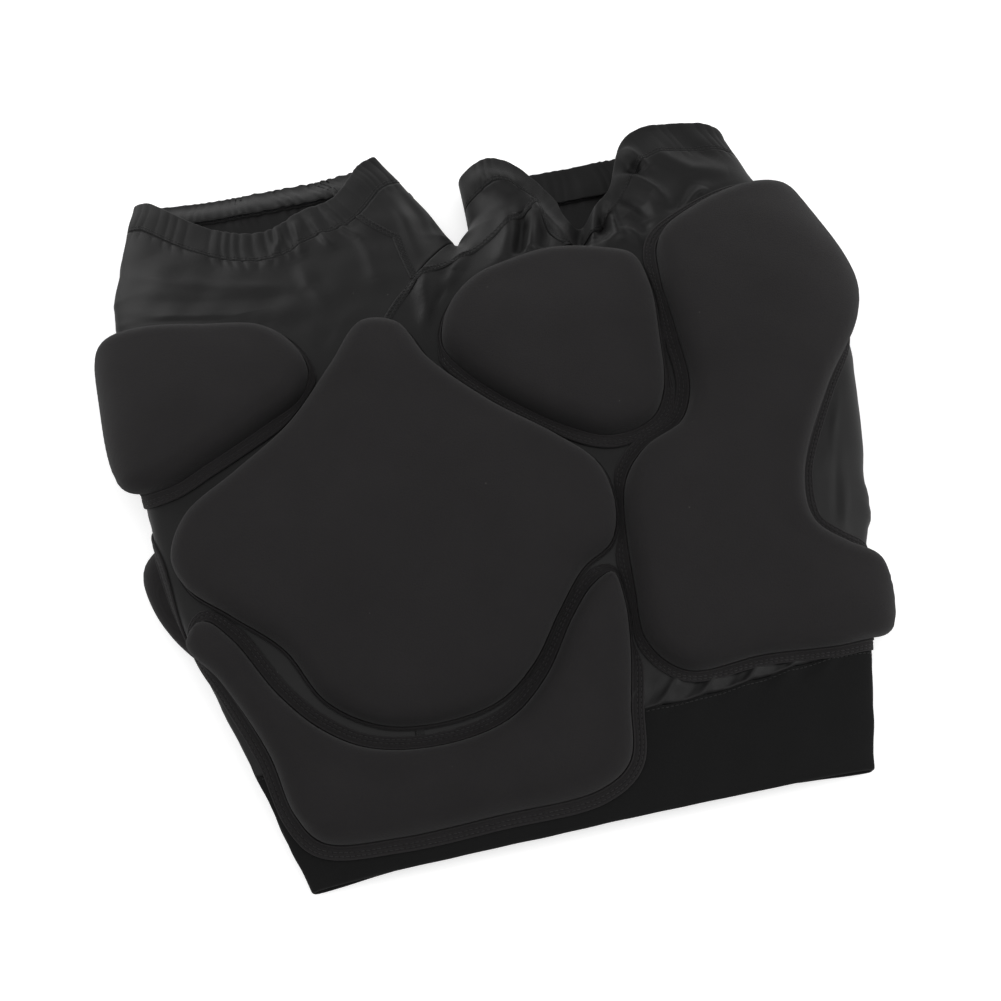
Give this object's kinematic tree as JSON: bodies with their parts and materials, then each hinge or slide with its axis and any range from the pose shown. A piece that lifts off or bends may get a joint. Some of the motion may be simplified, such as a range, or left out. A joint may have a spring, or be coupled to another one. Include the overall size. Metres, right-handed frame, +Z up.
{
  "type": "padded impact shorts",
  "caption": "Padded impact shorts for skiing and snowboarding: a stretch shell with sewn-on foam pads over the seat, tailbone, hips and thighs, laid flat with the back up.",
  "frame": {"origin": "on the surface the garment lies on, under the middle of its overall box", "axes": "+Z up off the surface, through the front layer and then the back layer; -Y towards the waist; +X to the right as seen from above with the waist nearest"},
  "size_m": [0.4798, 0.484, 0.0861],
  "materials": {
    "pad_cover": "matte charcoal knit over the pads, stitched round its margin",
    "pad_foam": "closed-cell foam with a dull skin, hidden inside the pads",
    "shell_fabric": "satin black stretch knit",
    "band_fabric": "matte black plush knit",
    "elastic": "woven elastic tape, hidden inside the bands"
  },
  "bodies": {
    "root": {"seat_pad_cover": "pad_cover", "seat_pad_foam": "pad_foam", "tailbone_pad_cover": "pad_cover", "tailbone_pad_foam": "pad_foam", "left_thigh_pad_cover": "pad_cover", "left_thigh_pad_foam": "pad_foam", "right_thigh_pad_cover": "pad_cover", "right_thigh_pad_foam": "pad_foam", "right_hip_pad_cover": "pad_cover", "right_hip_pad_foam": "pad_foam", "left_hip_pad_cover": "pad_cover", "left_hip_pad_foam": "pad_foam", "left_back_panel": "shell_fabric", "left_front_panel": "shell_fabric", "right_back_panel": "shell_fabric", "right_front_panel": "shell_fabric", "left_inner_thigh_panel": "shell_fabric", "right_inner_thigh_panel": "shell_fabric", "waistband_cover": "band_fabric", "waistband_elastic": "elastic", "left_cuff_cover": "band_fabric", "left_cuff_elastic": "elastic", "right_cuff_cover": "band_fabric", "right_cuff_elastic": "elastic"}
  },
  "joints": []
}
